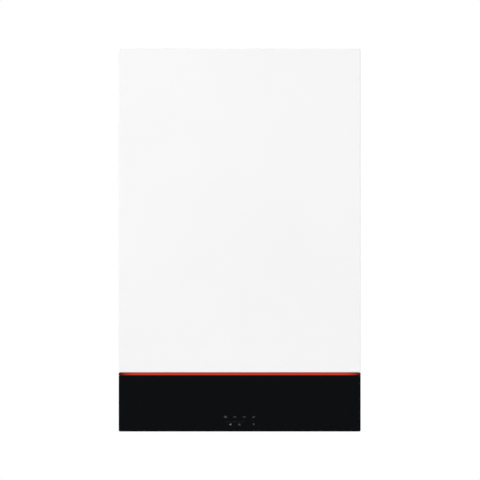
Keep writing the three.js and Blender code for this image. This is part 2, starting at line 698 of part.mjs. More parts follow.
// Flattened coil wound inside the drum.
{
  const turns = 6;
  const steps = 12;
  const outer = DRUM_RADIUS - drumWall - FIT;
  const radial = 26;
  const high = 17;
  const start = drumRear - drumWall - 6;
  const pitch = (start - drumFront - drumWall - 9 - high) / turns;
  const rings = [];
  for (let i = 0; i <= turns * steps; i += 1) {
    const a = i / steps * 2 * Math.PI;
    const y = start - i / steps * pitch;
    const at = (r, d) => new THREE.Vector3(DRUM_X + r * Math.cos(a), d, DRUM_Z + r * Math.sin(a));
    rings.push([at(outer, y), at(outer, y - high), at(outer - radial, y - high), at(outer - radial, y)]);
  }
  part('heat_exchanger_coil', surface(skin(rings)), STEEL, 0.3, 0.95);
}

{
  const hole = burnerRadius + 1;
  let door = turned('y', [DRUM_X, 0, DRUM_Z], [
    [hole, drumFront - FIT], [DRUM_RADIUS, drumFront - FIT], [DRUM_RADIUS, doorFront + 2],
    [DRUM_RADIUS - 2, doorFront], [doorBead + 6, doorFront], [doorBead, doorFront - 5],
    [doorBead - 6, doorFront], [hole, doorFront],
  ], 24);
  for (let i = 0; i < 6; i += 1) {
    const a = (i + 0.5) * Math.PI / 3;
    const x = DRUM_X + doorBolts * Math.cos(a);
    const z = DRUM_Z + doorBolts * Math.sin(a);
    door = join(door, rod('y', x, 0, z, 6.5, doorFront - 5, doorFront + 0.5, 6));
  }
  const tip = [DRUM_X + electrodeReach * Math.cos(0.8), DRUM_Z + electrodeReach * Math.sin(0.8)];
  door = cut(door, rod('y', tip[0], 0, tip[1], 5, doorFront - 4, drumFront + 3, 12));
  part('burner_door', surface(door), CAST, 0.45, 0.85);

  const burnerEnd = drumRear - 70;
  const r = burnerRadius;
  const burner = turned('y', [DRUM_X, 0, DRUM_Z], [
    [0, burnerEnd], [r - 1, burnerEnd], [r, burnerEnd - 1], [r, doorFront - FIT],
    [ductCollar, doorFront - FIT], [ductCollar, doorFront - 2], [r - 2, doorFront - 2],
    [r - 2, burnerEnd - 2], [0, burnerEnd - 2],
  ], 24);
  part('burner_tube', surface(burner), 0x8f8a82, 0.5, 0.8);

  const electrode = turned('y', [tip[0], 0, tip[1]], [
    [0, drumFront + 42], [1.6, drumFront + 42], [1.6, drumFront + 4], [4.6, drumFront + 4],
    [4.6, doorFront - FIT], [9, doorFront - FIT], [9, doorFront - 6], [5.5, doorFront - 8],
    [5.5, doorFront - 24], [3, doorFront - 26], [0, doorFront - 26],
  ], 12);
  part('ignition_electrode', surface(electrode), 0xe6e2d8, 0.4, 0);
}

// Fan: scroll housing with its outlet straight up into the mixing duct.
const outletHalf = 24;
const fanWall = 3;
const fanY = -(FAN_REAR + FAN_FRONT) / 2;
const outletTop = FAN_Z + 84;
{
  const scroll = (inset) => {
    const points = [];
    const count = 18;
    for (let i = 0; i <= count; i += 1) {
      const a = (135 - 315 * i / count) * Math.PI / 180;
      const r = 60 + 29 * i / count - inset;
      points.push([FAN_X + r * Math.cos(a), FAN_Z + r * Math.sin(a)]);
    }
    points.push([DRUM_X - outletHalf + inset, outletTop + (inset ? 6 : 0)]);
    points.push([DRUM_X + outletHalf - inset, outletTop + (inset ? 6 : 0)]);
    return points;
  };
  let body = cut(
    extruded('y', scroll(0), -FAN_FRONT, -FAN_REAR),
    extruded('y', scroll(fanWall), -FAN_FRONT + fanWall, -FAN_REAR - fanWall),
    rod('y', FAN_X, 0, FAN_Z, 32, -FAN_REAR - 6, -FAN_REAR + 6, 24),
    rod('y', FAN_X, 0, FAN_Z, 10, -FAN_FRONT - 6, -FAN_FRONT + 6, 16),
  );
  for (let i = 0; i < 5; i += 1) {
    const a = (70 - 62 * i) * Math.PI / 180;
    const x = FAN_X + (66 + 5 * i) * Math.cos(a);
    const z = FAN_Z + (66 + 5 * i) * Math.sin(a);
    body = join(body, rod('y', x, 0, z, 6, -FAN_FRONT, -FAN_REAR, 6));
  }
  part('fan_housing', surface(body), CAST, 0.45, 0.85);
}

{
  const back = -FAN_REAR - fanWall - 3;
  const front = -FAN_FRONT + fanWall + 3;
  let body = join(
    turned('y', [FAN_X, 0, FAN_Z], [
      [0, back - 6], [7, back - 6], [9, front + 4], [50, front + 2],
      [50, front], [8, front], [8, -FAN_FRONT], [0, -FAN_FRONT],
    ], 24),
    turned('y', [FAN_X, 0, FAN_Z], [[34, back], [50, back], [50, back - 1.6], [34, back - 1.6]], 20),
  );
  const blades = 13;
  const lean = 9;
  for (let i = 0; i < blades; i += 1) {
    const a = i * 2 * Math.PI / blades;
    const c = Math.cos(a);
    const s = Math.sin(a);
    const turn = (u, v) => [FAN_X + u * c - v * s, FAN_Z + u * s + v * c];
    const outline = [turn(30, 0), turn(49.6, lean - 2), turn(49, lean), turn(30, 2)];
    body = join(body, extruded('y', outline, front + 1, back - 1));
  }
  part('fan_impeller', surface(body), 0x2b2d30, 0.6, 0);
}

{
  const y = -FAN_FRONT - FIT;
  const body = turned('y', [FAN_X, 0, FAN_Z], [
    [0, y], [50, y], [50, y - 5], [43, y - 7], [43, y - 34], [38, y - 40],
    [20, y - 42], [18, y - 46], [0, y - 46],
  ], 20);
  const socket = box(FAN_X - 18, FAN_X + 18, y - 32, y - 8, FAN_Z - 56, FAN_Z - 38);
  part('fan_motor', surface(join(body, socket)), 0x2a2c2f, 0.55, 0);
}

// Mixing duct: square at the fan, round at the burner door.
{
  const steps = 5;
  const bend = 42;
  const endY = doorFront - 2 - FIT;
  const shapeRing = (t, centre, u, v) => {
    const power = 2 + 6 * (1 - t);
    const reach = outletHalf + 9 * t;
    return Array.from({ length: 16 }, (_, i) => {
      const a = (i + 0.5) * 2 * Math.PI / 16;
      const c = Math.cos(a);
      const s = Math.sin(a);
      const r = reach / Math.pow(Math.abs(c) ** power + Math.abs(s) ** power, 1 / power);
      return centre.clone().addScaledVector(u, r * c).addScaledVector(v, r * s);
    });
  };
  const u = new THREE.Vector3(1, 0, 0);
  const rings = [
    shapeRing(0, new THREE.Vector3(DRUM_X, fanY, outletTop + FIT), u, new THREE.Vector3(0, 1, 0)),
  ];
  for (let i = 0; i <= steps; i += 1) {
    const c = Math.cos(i / steps * Math.PI / 2);
    const s = Math.sin(i / steps * Math.PI / 2);
    const centre = new THREE.Vector3(DRUM_X, fanY + bend * (1 - c), DRUM_Z - bend + bend * s);
    rings.push(shapeRing(i / steps, centre, u, new THREE.Vector3(0, c, -s)));
  }
  rings.push(shapeRing(1, new THREE.Vector3(DRUM_X, endY, DRUM_Z), u, new THREE.Vector3(0, 0, -1)));
  let body = skin(rings);
  body = join(body, rod('y', DRUM_X, 0, DRUM_Z, ductCollar, endY - 3, endY, 24));
  body = join(body, box(DRUM_X - 31, DRUM_X + 31, fanY - 31, fanY + 31, outletTop + FIT, outletTop + 3.5));
  part('mixing_duct', surface(body), 0x2b2d30, 0.5, 0);
}

const valveY = -(FAN_REAR - 34);
const venturiRear = valveY + 44;
const valveTop = FAN_Z - 72;
{
  const mouth = -FAN_REAR + FIT;
  const body = join(
    cut(
      turned('y', [FAN_X, 0, FAN_Z], [
        [29, mouth], [44, mouth], [44, -FAN_REAR + 4], [34, -FAN_REAR + 7],
        [24, valveY], [36, venturiRear], [33, venturiRear], [19, valveY],
      ], 18),
      rod('z', FAN_X, valveY, 0, 5, FAN_Z - 26, FAN_Z - 10, 12),
    ),
    cut(
      rod('z', FAN_X, valveY, 0, 12, valveTop + 10, FAN_Z - 20, 16),
      rod('z', FAN_X, valveY, 0, 5, valveTop + 5, FAN_Z - 10, 12),
    ),
  );
  part('venturi', surface(body), CAST, 0.45, 0.85);
}

{
  const y = valveY;
  let body = join(
    box(FAN_X - 44, FAN_X + 44, y - 30, y + 30, valveTop - 66, valveTop - 14),
    rod('z', FAN_X, y, 0, 13, valveTop - 15, valveTop + 10 - FIT, 16),
    rod('z', FAN_X - 27, y - 6, 0, 15, valveTop - 15, valveTop + 12, 16),
    rod('z', FAN_X + 27, y - 6, 0, 15, valveTop - 15, valveTop + 12, 16),
    rod('z', FAN_X, y, 0, 14, valveTop - 78, valveTop - 65, 6),
    rod('y', FAN_X - 22, 0, valveTop - 40, 9, y - 38, y - 29, 16),
    box(FAN_X + 4, FAN_X + 38, y - 36, y - 29, valveTop - 56, valveTop - 26),
  );
  body = cut(body, box(FAN_X - 28.5, FAN_X - 15.5, y - 40, y - 36, valveTop - 41, valveTop - 39));
  part('gas_valve', surface(body), CAST, 0.5, 0.85);
}

// Concentric flue connection, sunk in the top panel: the flue pipe inside, the air collar round it.
{
  const top = HEIGHT - SHEET * 2 - FIT * 2;
  const at = [DRUM_X, -FLUE_DEPTH, 0];
  const low = top - 62;
  const lip = HEIGHT - 1;
  const r = FLUE_RADIUS;
  const foot = drumTop + 14 + FIT;
  const pipeBody = turned('z', at, [
    [r - 2, foot], [r + 1, foot], [r + 1, top - 40], [r + 3, top - 36],
    [r + 3, lip], [r + 1, lip], [r + 1, top - 35], [r - 2, top - 40],
  ], 24);
  part('flue_pipe', surface(pipeBody), 0xdcddde, 0.5, 0);

  let collar = turned('z', at, [
    [AIR_RADIUS - 2, low], [AIR_RADIUS, low], [AIR_RADIUS, top - 4], [AIR_RADIUS + 12, top - 4],
    [AIR_RADIUS + 12, top - FIT], [AIR_RADIUS + 2, top - FIT], [AIR_RADIUS + 2, lip], [AIR_RADIUS - 2, lip],
  ], 24);
  for (let i = 0; i < 3; i += 1) {
    const rib = box(r + 1 + FIT, AIR_RADIUS - 1, -1.5, 1.5, low, low + 12).rotate([0, 0, i * 120 + 22]);
    collar = join(collar, rib.translate(at));
  }
  part('air_collar', surface(collar), 0xdcddde, 0.5, 0);
}

// ---- Water side ----
const BRASS = 0xc2a45a;
const COPPER = 0xb87247;
const PLASTIC = 0x303236;
const stubY = -STUB_DEPTH;
const flowX = stubX(0);
const returnX = stubX(1);
const gasX = stubX(2);
const coldX = stubX(3);
const hotX = stubX(4);

// Pipe end through the bottom plate with its union collar.
function stub(x, top) {
  return join(
    rod('z', x, stubY, 0, STUB_RADIUS, STUB_END, top, 12),
    rod('z', x, stubY, 0, 16, PLATE_TOP + FIT, PLATE_TOP + 10, 6),
    rod('z', x, stubY, 0, 14.5, STUB_END + 8, STUB_END + 20, 6),
  );
}

// Heights and places that the water pieces share.
const valveZ = 200;
const manifoldTop = 306;
const vesselPort = 250;
const riserX = -20;
const riserRadius = 7.5;

// Expansion vessel: flat obround with a rolled seam.
const vesselTop = HEIGHT - 115;
const vesselBottom = manifoldTop + 29;
{
  const rear = BACK_FACE - 3.3;
  const front = rear - 88;
  const seam = (rear + front) / 2;
  const edge = riserX - 7;
  const ring = (y, inset) => facing(-HALF + 25, edge, vesselBottom, vesselTop, 100, y, inset, 4);
  const body = skin([
    ring(rear, 34), ring(rear - 9, 12), ring(rear - 22, 4), ring(seam + 5, 4), ring(seam + 5, 0),
    ring(seam - 5, 0), ring(seam - 5, 4), ring(front + 22, 4), ring(front + 9, 12), ring(front, 34),
  ]);
  const x = flowX - 70;
  part('expansion_vessel', surface(join(
    body,
    rod('z', x, seam, 0, 11, vesselBottom - 12, vesselBottom + 20, 6),
    box(DRUM_X - 20, DRUM_X + 20, rear - 4, BACK_FACE - FIT, vesselTop - 235, vesselTop - 135),
  )), 0xb03a30, 0.4, 0);
  part('vessel_hose', surface(pipe([
    [x, seam, vesselBottom - 12 - FIT], [x, seam, vesselPort], [flowX - 20 - FIT, seam, vesselPort],
  ], 6.5, 22, 8)), 0x8a8d90, 0.5, 0.6);
}
const vesselY = BACK_FACE - 47.3;

// Plate heat exchanger: stack of pressed plates between two end plates.
const stackLeft = riserX - 50;
const stackRight = riserX + 25;
const stackLow = valveZ - 2;
const stackHigh = manifoldTop + 16;
const stackRear = -72;
const stackPlates = 9;
{
  const rings = [];
  const pitch = 6;
  for (let i = 0; i < stackPlates; i += 1) {
    const y = stackRear - i * pitch;
    const ring = (d, inset) => facing(stackLeft, stackRight, stackLow, stackHigh, 14, d, inset, 1);
    rings.push(ring(y, 0), ring(y - 3.4, 0), ring(y - 3.4, 2.4), ring(y - pitch, 2.4));
  }
  const frontPlate = stackRear - stackPlates * pitch;
  for (const y of [frontPlate, frontPlate - 3]) {
    rings.push(facing(stackLeft, stackRight, stackLow, stackHigh, 14, y, 0, 1));
  }
  part('plate_heat_exchanger', surface(skin(rings)), STEEL, 0.25, 0.95);
}

// Flow side block with the diverter body and the arm to the plate stack.
const valveFront = -196;
const portY = -168;
const armY = -98;
const reliefZ = 140;
{
  let body = join(
    stub(flowX, 96),
    rod('z', flowX, stubY, 0, 20, 95, manifoldTop, 18),
    rod('y', flowX, 0, valveZ, 18, valveFront, stubY, 18),
    rod('y', flowX, 0, manifoldTop - 11, 9, armY, stubY, 8),
    box(flowX - 12, flowX + 12, armY - 12, armY + 12, manifoldTop - 23, manifoldTop + 1),
    rod('x', 0, armY, manifoldTop - 10, 9.5, flowX, stackLeft - FIT, 10),
    rod('y', flowX, 0, valveZ, 23, valveFront, valveFront + 10, 6),
    rod('z', flowX, portY, 0, 14, valveZ, valveZ + 24, 6),
    rod('x', 0, vesselY, vesselPort, 11, flowX - 20, flowX, 6),
    rod('x', 0, stubY, reliefZ, 12, flowX - 26, flowX, 6),
  );
  body = cut(body, rod('y', flowX, 0, valveZ, 5, valveFront - 2, -122, 12));
  part('flow_manifold', surface(body), BRASS, 0.4, 0.85);

  const spindle = turned('y', [flowX, 0, valveZ], [
    [0, -134], [4.6, -134], [4.6, -142], [2.6, -144], [2.6, valveFront - 10],
    [4.6, valveFront - 12], [4.6, valveFront - 16], [0, valveFront - 16],
  ], 12);
  part('diverter_spindle', surface(spindle), STEEL, 0.3, 0.95);

  let head = join(
    rod('y', flowX, 0, valveZ, 22, valveFront - 14, valveFront - FIT, 18),
    box(flowX - 24, flowX + 24, valveFront - 52, valveFront - 13, valveZ - 26, valveZ + 30),
    box(flowX - 10, flowX + 10, valveFront - 46, valveFront - 30, valveZ + 29, valveZ + 40),
  );
  head = cut(head, rod('y', flowX, 0, valveZ, 5, valveFront - 30, valveFront + 2, 12));
  part('diverter_actuator', surface(head), PLASTIC, 0.6, 0);
}

// Return side block with the pump volute.
const pumpZ = 150;
const volute = 42;
const voluteRear = -160;
const voluteFront = -202;
const pumpLength = 84;
{
  let body = join(
    stub(returnX, 96),
    rod('z', returnX, stubY, 0, 18, 95, 186, 16),
    rod('y', returnX, 0, pumpZ, 16, voluteRear - 4, stubY, 16),
    rod('y', returnX, 0, pumpZ, volute, voluteFront, voluteRear, 24),
    rod('z', returnX, -180, 0, 14, pumpZ + 20, pumpZ + volute + 12, 12),
  );
  body = cut(
    body,
    rod('y', returnX, 0, pumpZ, 35, voluteFront - 2, voluteRear - 6, 24),
    rod('z', returnX, -180, 0, 9, pumpZ + 20, pumpZ + volute + 13, 12),
  );
  part('return_manifold', surface(body), BRASS, 0.4, 0.85);

  const back = voluteRear - 9;
  const front = voluteFront + 3;
  let wheel = turned('y', [returnX, 0, pumpZ], [
    [0, back], [8, back], [8, front + 3], [31, front + 3],
    [31, front], [6, front], [6, voluteFront], [0, voluteFront],
  ], 20);
  for (let i = 0; i < 6; i += 1) {
    const a = i * Math.PI / 3;
    const at = (r, s) => [returnX + r * Math.cos(a + s), pumpZ + r * Math.sin(a + s)];
    const vane = [at(7, -0.15), at(18, 0.3), at(30, 0.7), at(30.5, 0.78), at(18, 0.42), at(7, 0.15)];
    wheel = join(wheel, extruded('y', vane, front + 1, back - 4));
  }
  part('pump_impeller', surface(wheel), 0xd8d6cf, 0.5, 0);

  const y = voluteFront - FIT;
  let motor = turned('y', [returnX, 0, pumpZ], [
    [0, y], [volute, y], [volute, y - 7], [36, y - 9], [36, y - 58],
    [33, y - 62], [12, y - 62], [12, y - 65], [0, y - 65],
  ], 18);
  motor = join(motor, box(returnX - 28, returnX + 28, y - pumpLength, y - 61, pumpZ - 24, pumpZ + 28));
  for (let i = 0; i < 4; i += 1) {
    const x = returnX + 36 * Math.cos((i + 0.5) * Math.PI / 2);
    const z = pumpZ + 36 * Math.sin((i + 0.5) * Math.PI / 2);
    motor = join(motor, rod('y', x, 0, z, 5, y - 12, y, 6));
  }
  part('pump_motor', surface(motor), PLASTIC, 0.5, 0);
}

// Safety valve with its turning cap.
{
  const x = flowX - 26 - FIT;
  const at = (d, profile) => {
    const points = profile.map(([r, u]) => [r, x - d - u]);
    return turned('x', [0, stubY, reliefZ], points, 16);
  };
  const body = join(
    at(0, [[0, 0], [11, 0], [13, 4], [13, 24], [9, 26], [9, 30], [0, 30]]),
    rod('z', x - 13, stubY, 0, 7, reliefZ - 32, reliefZ, 12),
  );
  part('safety_valve', surface(body), BRASS, 0.35, 0.9);
  let cap = at(30 + FIT, [[0, 0], [14, 0], [16, 2], [16, 18], [14, 21], [0, 21]]);
  for (let i = 0; i < 6; i += 1) {
    const a = i * Math.PI / 3;
    const u = stubY + 17 * Math.cos(a);
    const v = reliefZ + 17 * Math.sin(a);
    cap = cut(cap, rod('x', 0, u, v, 2.6, x - 60, x - 30 - 4, 6));
  }
  part('safety_valve_cap', surface(cap), 0x9c2f26, 0.5, 0);
}

// Heating pipes to the drum, on its right-hand side.
const sideX = BAY_SPLIT - 12.2;
const elbowZ = valveTop - 62;
const crossZ = elbowZ - 40;
const drumSide = DRUM_X + DRUM_RADIUS + 5 + FIT;
part('flow_pipe', surface(pipe([
  [drumSide, flowPortY, DRUM_Z], [sideX, flowPortY, DRUM_Z], [sideX, portY, elbowZ], [flowX, portY, elbowZ],
  [flowX, portY, valveZ + 24 + FIT],
], 8.5, 10, 8, 3)), COPPER, 0.35, 0.9);
part('return_pipe', surface(pipe([
  [returnX, -180, pumpZ + volute + 12 + FIT], [returnX, -180, crossZ], [returnX, returnPortY, crossZ],
  [sideX, returnPortY, crossZ], [sideX, returnPortY, DRUM_Z], [drumSide, returnPortY, DRUM_Z],
], 8.5, 10, 8, 3)), COPPER, 0.35, 0.9);

// Water and tank pipes behind the store.
const lidTop = TANK_TOP + 20 + FIT;
const chargeZ = HEIGHT - 22;
const drawZ = HEIGHT - 43;
const stackInlet = stackLow + 24;
const stackOutlet = stackHigh - 22;
const stubTop = 130;
part('cold_water_pipe', surface(join(
  stub(coldX, stubTop),
  pipe([
    [coldX, stubY, stubTop - 2], [coldX, stubY, 166], [riserX, stubY, 166],
    [riserX, stubY, stackInlet], [riserX, stackRear + FIT, stackInlet],
  ], riserRadius, 14, 8, 3),
)), COPPER, 0.35, 0.9);
part('tank_charge_pipe', surface(pipe([
  [riserX, stackRear + FIT, stackOutlet], [riserX, stubY, stackOutlet], [riserX + 12, stubY, chargeZ],
  [TANK_X + 22, stubY, chargeZ], [TANK_X + 22, -TANK_DEPTH, chargeZ], [TANK_X + 22, -TANK_DEPTH, lidTop],
], riserRadius, 14, 8, 3)), COPPER, 0.35, 0.9);
part('hot_water_pipe', surface(join(
  stub(hotX, stubTop),
  pipe([
    [hotX, stubY, stubTop - 2], [hotX, stubY, drawZ], [hotX, -TANK_DEPTH + 6, drawZ],
    [hotX, -TANK_DEPTH + 6, lidTop],
  ], riserRadius, 12, 8, 3),
)), COPPER, 0.35, 0.9);

// Gas pipe under the pump, then up in front of it to the valve.
const gasLevel = 100;
const gasLaneX = BAY_SPLIT - 32.2;
const gasRiserY = Math.min(valveY, voluteFront - FIT - pumpLength - 12);
const gasInlet = valveTop - 78 - FIT;
part('gas_pipe', surface(join(
  rod('z', gasX, stubY, 0, STUB_RADIUS, STUB_END, 84, 14),
  rod('z', gasX, stubY, 0, 16, PLATE_TOP + FIT, PLATE_TOP + 10, 6),
  rod('z', gasX, stubY, 0, 14.5, STUB_END + 8, STUB_END + 20, 6),
  pipe([
    [gasX, stubY, 82], [gasX, stubY, gasLevel], [gasLaneX, stubY, gasLevel],
    [gasLaneX, gasRiserY, gasLevel], [FAN_X, gasRiserY, gasLevel],
    [FAN_X, gasRiserY, gasInlet - 60], [FAN_X, valveY, gasInlet - 30], [FAN_X, valveY, gasInlet],
  ], 8, 13, 8, 3),
)), 0xc9a93c, 0.4, 0.8);

// Condensate trap and hose.
const trapTop = 250;
{
  const x = trapX;
  const y = trapY;
  const body = turned('z', [x, y, 0], [
    [0, 12], [9, 12], [9, 24], [12, 26], [12, PLATE_TOP + FIT], [24, PLATE_TOP + FIT], [24, PLATE_TOP + 5],
    [20, PLATE_TOP + 8], [20, 92], [28, 98], [28, trapTop - 24], [20, trapTop - 14],
    [11, trapTop - 12], [11, trapTop], [0, trapTop],
  ], 14);
  part('siphon', surface(body), 0xe4e5e6, 0.5, 0);
  const drain = DRUM_Z - DRUM_RADIUS - 8;
  part('condensate_hose', surface(pipe([
    [DRUM_X, drainY, drain - FIT], [DRUM_X, drainY, drain - 40], [x, y, drain - 60], [x, y, trapTop + FIT],
  ], 10, 26, 10, 4)), 0x55585c, 0.7, 0);
}

export default group;
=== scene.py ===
import json
import math

import bmesh
import bpy
from mathutils import Matrix, Vector


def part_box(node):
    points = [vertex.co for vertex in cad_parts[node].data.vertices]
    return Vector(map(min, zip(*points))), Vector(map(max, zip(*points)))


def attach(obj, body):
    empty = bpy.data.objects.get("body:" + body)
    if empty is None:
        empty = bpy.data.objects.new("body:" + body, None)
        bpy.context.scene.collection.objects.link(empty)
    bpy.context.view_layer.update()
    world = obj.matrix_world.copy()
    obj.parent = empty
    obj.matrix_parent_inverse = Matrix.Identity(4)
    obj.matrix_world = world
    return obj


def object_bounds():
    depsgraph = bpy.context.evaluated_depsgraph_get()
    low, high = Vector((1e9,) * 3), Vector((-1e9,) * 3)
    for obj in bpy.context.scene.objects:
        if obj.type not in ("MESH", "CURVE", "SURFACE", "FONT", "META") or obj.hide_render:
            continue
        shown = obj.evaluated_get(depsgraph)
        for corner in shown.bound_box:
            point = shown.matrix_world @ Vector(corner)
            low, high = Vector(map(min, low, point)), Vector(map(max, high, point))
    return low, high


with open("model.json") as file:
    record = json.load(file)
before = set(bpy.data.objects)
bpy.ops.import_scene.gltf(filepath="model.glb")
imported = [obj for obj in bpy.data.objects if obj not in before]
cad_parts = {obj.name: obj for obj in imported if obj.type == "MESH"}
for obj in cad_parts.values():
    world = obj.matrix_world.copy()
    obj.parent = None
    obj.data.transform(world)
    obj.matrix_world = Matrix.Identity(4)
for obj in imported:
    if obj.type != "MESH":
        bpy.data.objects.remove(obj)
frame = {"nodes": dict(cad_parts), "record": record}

# The row frame is in metres, with X across, Y towards the wall and Z up. Fittings and symbols are placed
# in the casing's own millimetres, whose Z starts at the casing's bottom edge.
CAD_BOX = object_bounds()
NODES = frame["nodes"]
BOTTOM = round(CAD_BOX[0][2], 6)
FRONT = round(CAD_BOX[0][1], 6)
HALF_WIDTH = round(CAD_BOX[1][0], 6)


def row(x, y, z):
    """Casing millimetres to row metres."""
    return Vector((x / 1000, y / 1000, z / 1000 + BOTTOM))


def span(node):
    """Lowest and highest corner of a CAD node, in casing millimetres."""
    return [Vector([round(c * 1000, 3) for c in (v.x, v.y, v.z - BOTTOM)]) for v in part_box(node)]


def middle(node):
    low, high = span(node)
    return (low + high) / 2


# ---- Materials ----
# How a grain is squeezed along X, Y and Z.
EVEN = (1, 1, 1)
DRAWN = (1, 12, 1)
# Sockets of the Mix node that carry colours.
MIX_A, MIX_B, MIX_OUT = 6, 7, 2


class Mat:
    """A node material on object coordinates, so a scale of 900 gives grains of about a millimetre."""

    def __init__(self, name):
        self.material = bpy.data.materials.new(name)
        self.material.use_nodes = True
        self.nodes = self.material.node_tree.nodes
        self.links = self.material.node_tree.links
        self.shader = self.nodes["Principled BSDF"]
        self.coord = self.nodes.new("ShaderNodeTexCoord").outputs["Object"]

    def set(self, **values):
        """Set the shader's named inputs; spaces in their names are underscores here."""
        for key, value in values.items():
            self.shader.inputs[key.replace("_", " ")].default_value = value
        return self

    def link(self, a, b):
        self.links.new(a, b)

    def noise(self, scale, detail=2.0, rough=0.5, stretch=EVEN):
        mapping = self.nodes.new("ShaderNodeMapping")
        mapping.inputs["Scale"].default_value = stretch
        self.link(self.coord, mapping.inputs["Vector"])
        node = self.nodes.new("ShaderNodeTexNoise")
        node.inputs["Scale"].default_value = scale
        node.inputs["Detail"].default_value = detail
        node.inputs["Roughness"].default_value = rough
        self.link(mapping.outputs["Vector"], node.inputs["Vector"])
        return node.outputs["Fac"]

    def ramp(self, source, low, high, to_min, to_max):
        """A value's range mapped to a new one, and held at its ends."""
        node = self.nodes.new("ShaderNodeMapRange")
        for key, value in (("From Min", low), ("From Max", high), ("To Min", to_min), ("To Max", to_max)):
            node.inputs[key].default_value = value
        self.link(source, node.inputs["Value"])
        return node.outputs["Result"]

    def spread(self, noise, to_min=0, to_max=1):
        """The middle of a noise's range, where most of it lies, over a new range."""
        return self.ramp(noise, 0.3, 0.7, to_min, to_max)

    def mix(self, factor, a, b):
        node = self.nodes.new("ShaderNodeMix")
        node.data_type = "RGBA"
        node.inputs[MIX_A].default_value = (*a, 1)
        node.inputs[MIX_B].default_value = (*b, 1)
        self.link(factor, node.inputs[0])
        return node.outputs[MIX_OUT]

    def calc(self, operation, *values):
        """One step of arithmetic on sockets and plain numbers."""
        node = self.nodes.new("ShaderNodeMath")
        node.operation = operation
        for socket, value in zip(node.inputs, values):
            if isinstance(value, float):
                socket.default_value = value
            else:
                self.link(value, socket)
        return node.outputs[0]

    def bump(self, source, strength, distance):
        node = self.nodes.new("ShaderNodeBump")
        node.inputs["Strength"].default_value = strength
        node.inputs["Distance"].default_value = distance
        self.link(source, node.inputs["Height"])
        self.link(node.outputs["Normal"], self.shader.inputs["Normal"])

    def color(self, output):
        self.link(output, self.shader.inputs["Base Color"])

    def rough(self, output):
        self.link(output, self.shader.inputs["Roughness"])


def dimmed(color, share):
    return tuple(c * share for c in color)


def painted(name, base, roughness):
    """Powder coat: a faint cloud in the colour and a fine orange peel."""
    mat = Mat(name)
    mat.color(mat.mix(mat.ramp(mat.noise(3.0, 3), 0.35, 0.65, 0, 1), base, dimmed(base, 0.985)))
    mat.rough(mat.spread(mat.noise(40, 2), roughness - 0.04, roughness + 0.04))
    mat.bump(mat.noise(900, 2), 0.035, 0.0004)
    return mat.set(Specular_IOR_Level=0.45).material


def metal(name, base, roughness, stretch, scale, dark, bump):
    """Bare metal: one grain drives the colour, down to dark times the base, and the bump."""
    mat = Mat(name)
    grain = mat.noise(scale, 4, 0.6, stretch)
    mat.color(mat.mix(mat.spread(grain), dimmed(base, dark), base))
    mat.rough(mat.spread(mat.noise(30, 3), roughness - 0.07, roughness + 0.09))
    mat.bump(grain, bump, 0.0006)
    return mat.set(Metallic=1.0).material


def plastic(name, base, roughness, grain=1400, bump=0.12):
    """Moulded plastic, rubber or ceramic with a fine texture."""
    mat = Mat(name)
    mat.color(mat.mix(mat.spread(mat.noise(12, 2)), dimmed(base, 0.9), base))
    mat.rough(mat.spread(mat.noise(60, 2), roughness - 0.05, roughness + 0.06))
    mat.bump(mat.noise(grain, 3), bump, 0.0003)
    return mat.material


def foam(name, base):
    """Expanded foam: round beads pressed together, with painted shade that darkens each bead towards its rim.
    """
    mat = Mat(name)
    cell = mat.nodes.new("ShaderNodeTexVoronoi")
    cell.inputs["Scale"].default_value = 210
    mat.link(mat.coord, cell.inputs["Vector"])
    distance = cell.outputs["Distance"]
    # Painted shade: the colour darkens towards each bead's rim, in the sunken seams between the beads.
    mat.color(mat.mix(mat.ramp(distance, 0.0, 0.7, 0, 1), base, dimmed(base, 0.7)))
    mat.bump(mat.ramp(distance, 0.0, 0.8, 1, 0), 0.5, 0.0009)
    return mat.set(Roughness=0.95, Specular_IOR_Level=0.2).material


def board(name):
    """Circuit board: green lacquer with a grid of lighter tracks."""
    mat = Mat(name)
    grid = mat.nodes.new("ShaderNodeTexBrick")
    grid.inputs["Scale"].default_value = 130
    grid.inputs["Mortar Size"].default_value = 0.012
    grid.inputs["Color1"].default_value = (0.012, 0.085, 0.035, 1)
    grid.inputs["Color2"].default_value = (0.016, 0.11, 0.045, 1)
    grid.inputs["Mortar"].default_value = (0.05, 0.2, 0.1, 1)
    mat.link(mat.coord, grid.inputs["Vector"])
    mat.color(grid.outputs["Color"])
    mat.bump(mat.noise(600, 2), 0.1, 0.0003)
    return mat.set(Roughness=0.45).material


def glass(name, deep, pale):
    """Back-painted glass, so dark that only its gloss shows."""
    mat = Mat(name)
    mat.color(mat.mix(mat.spread(mat.noise(2.0, 2)), deep, pale))
    mat.rough(mat.spread(mat.noise(9.0, 3), 0.045, 0.075))
    return mat.set(Specular_IOR_Level=0.32).material


# The strip's glow: metres from its ends to where it is nearly two thirds up, how steeply it rises there, and
# the heights above its foot between which it comes up.
STRIP_FADE = 0.0186
STRIP_CURVE = 1.57
STRIP_DARK = 0.0006
STRIP_LIT = 0.0014
STRIP_OFF = (0.006, 0.003, 0.003)
STRIP_ON = (0.596, 0.0382, 0.0162)


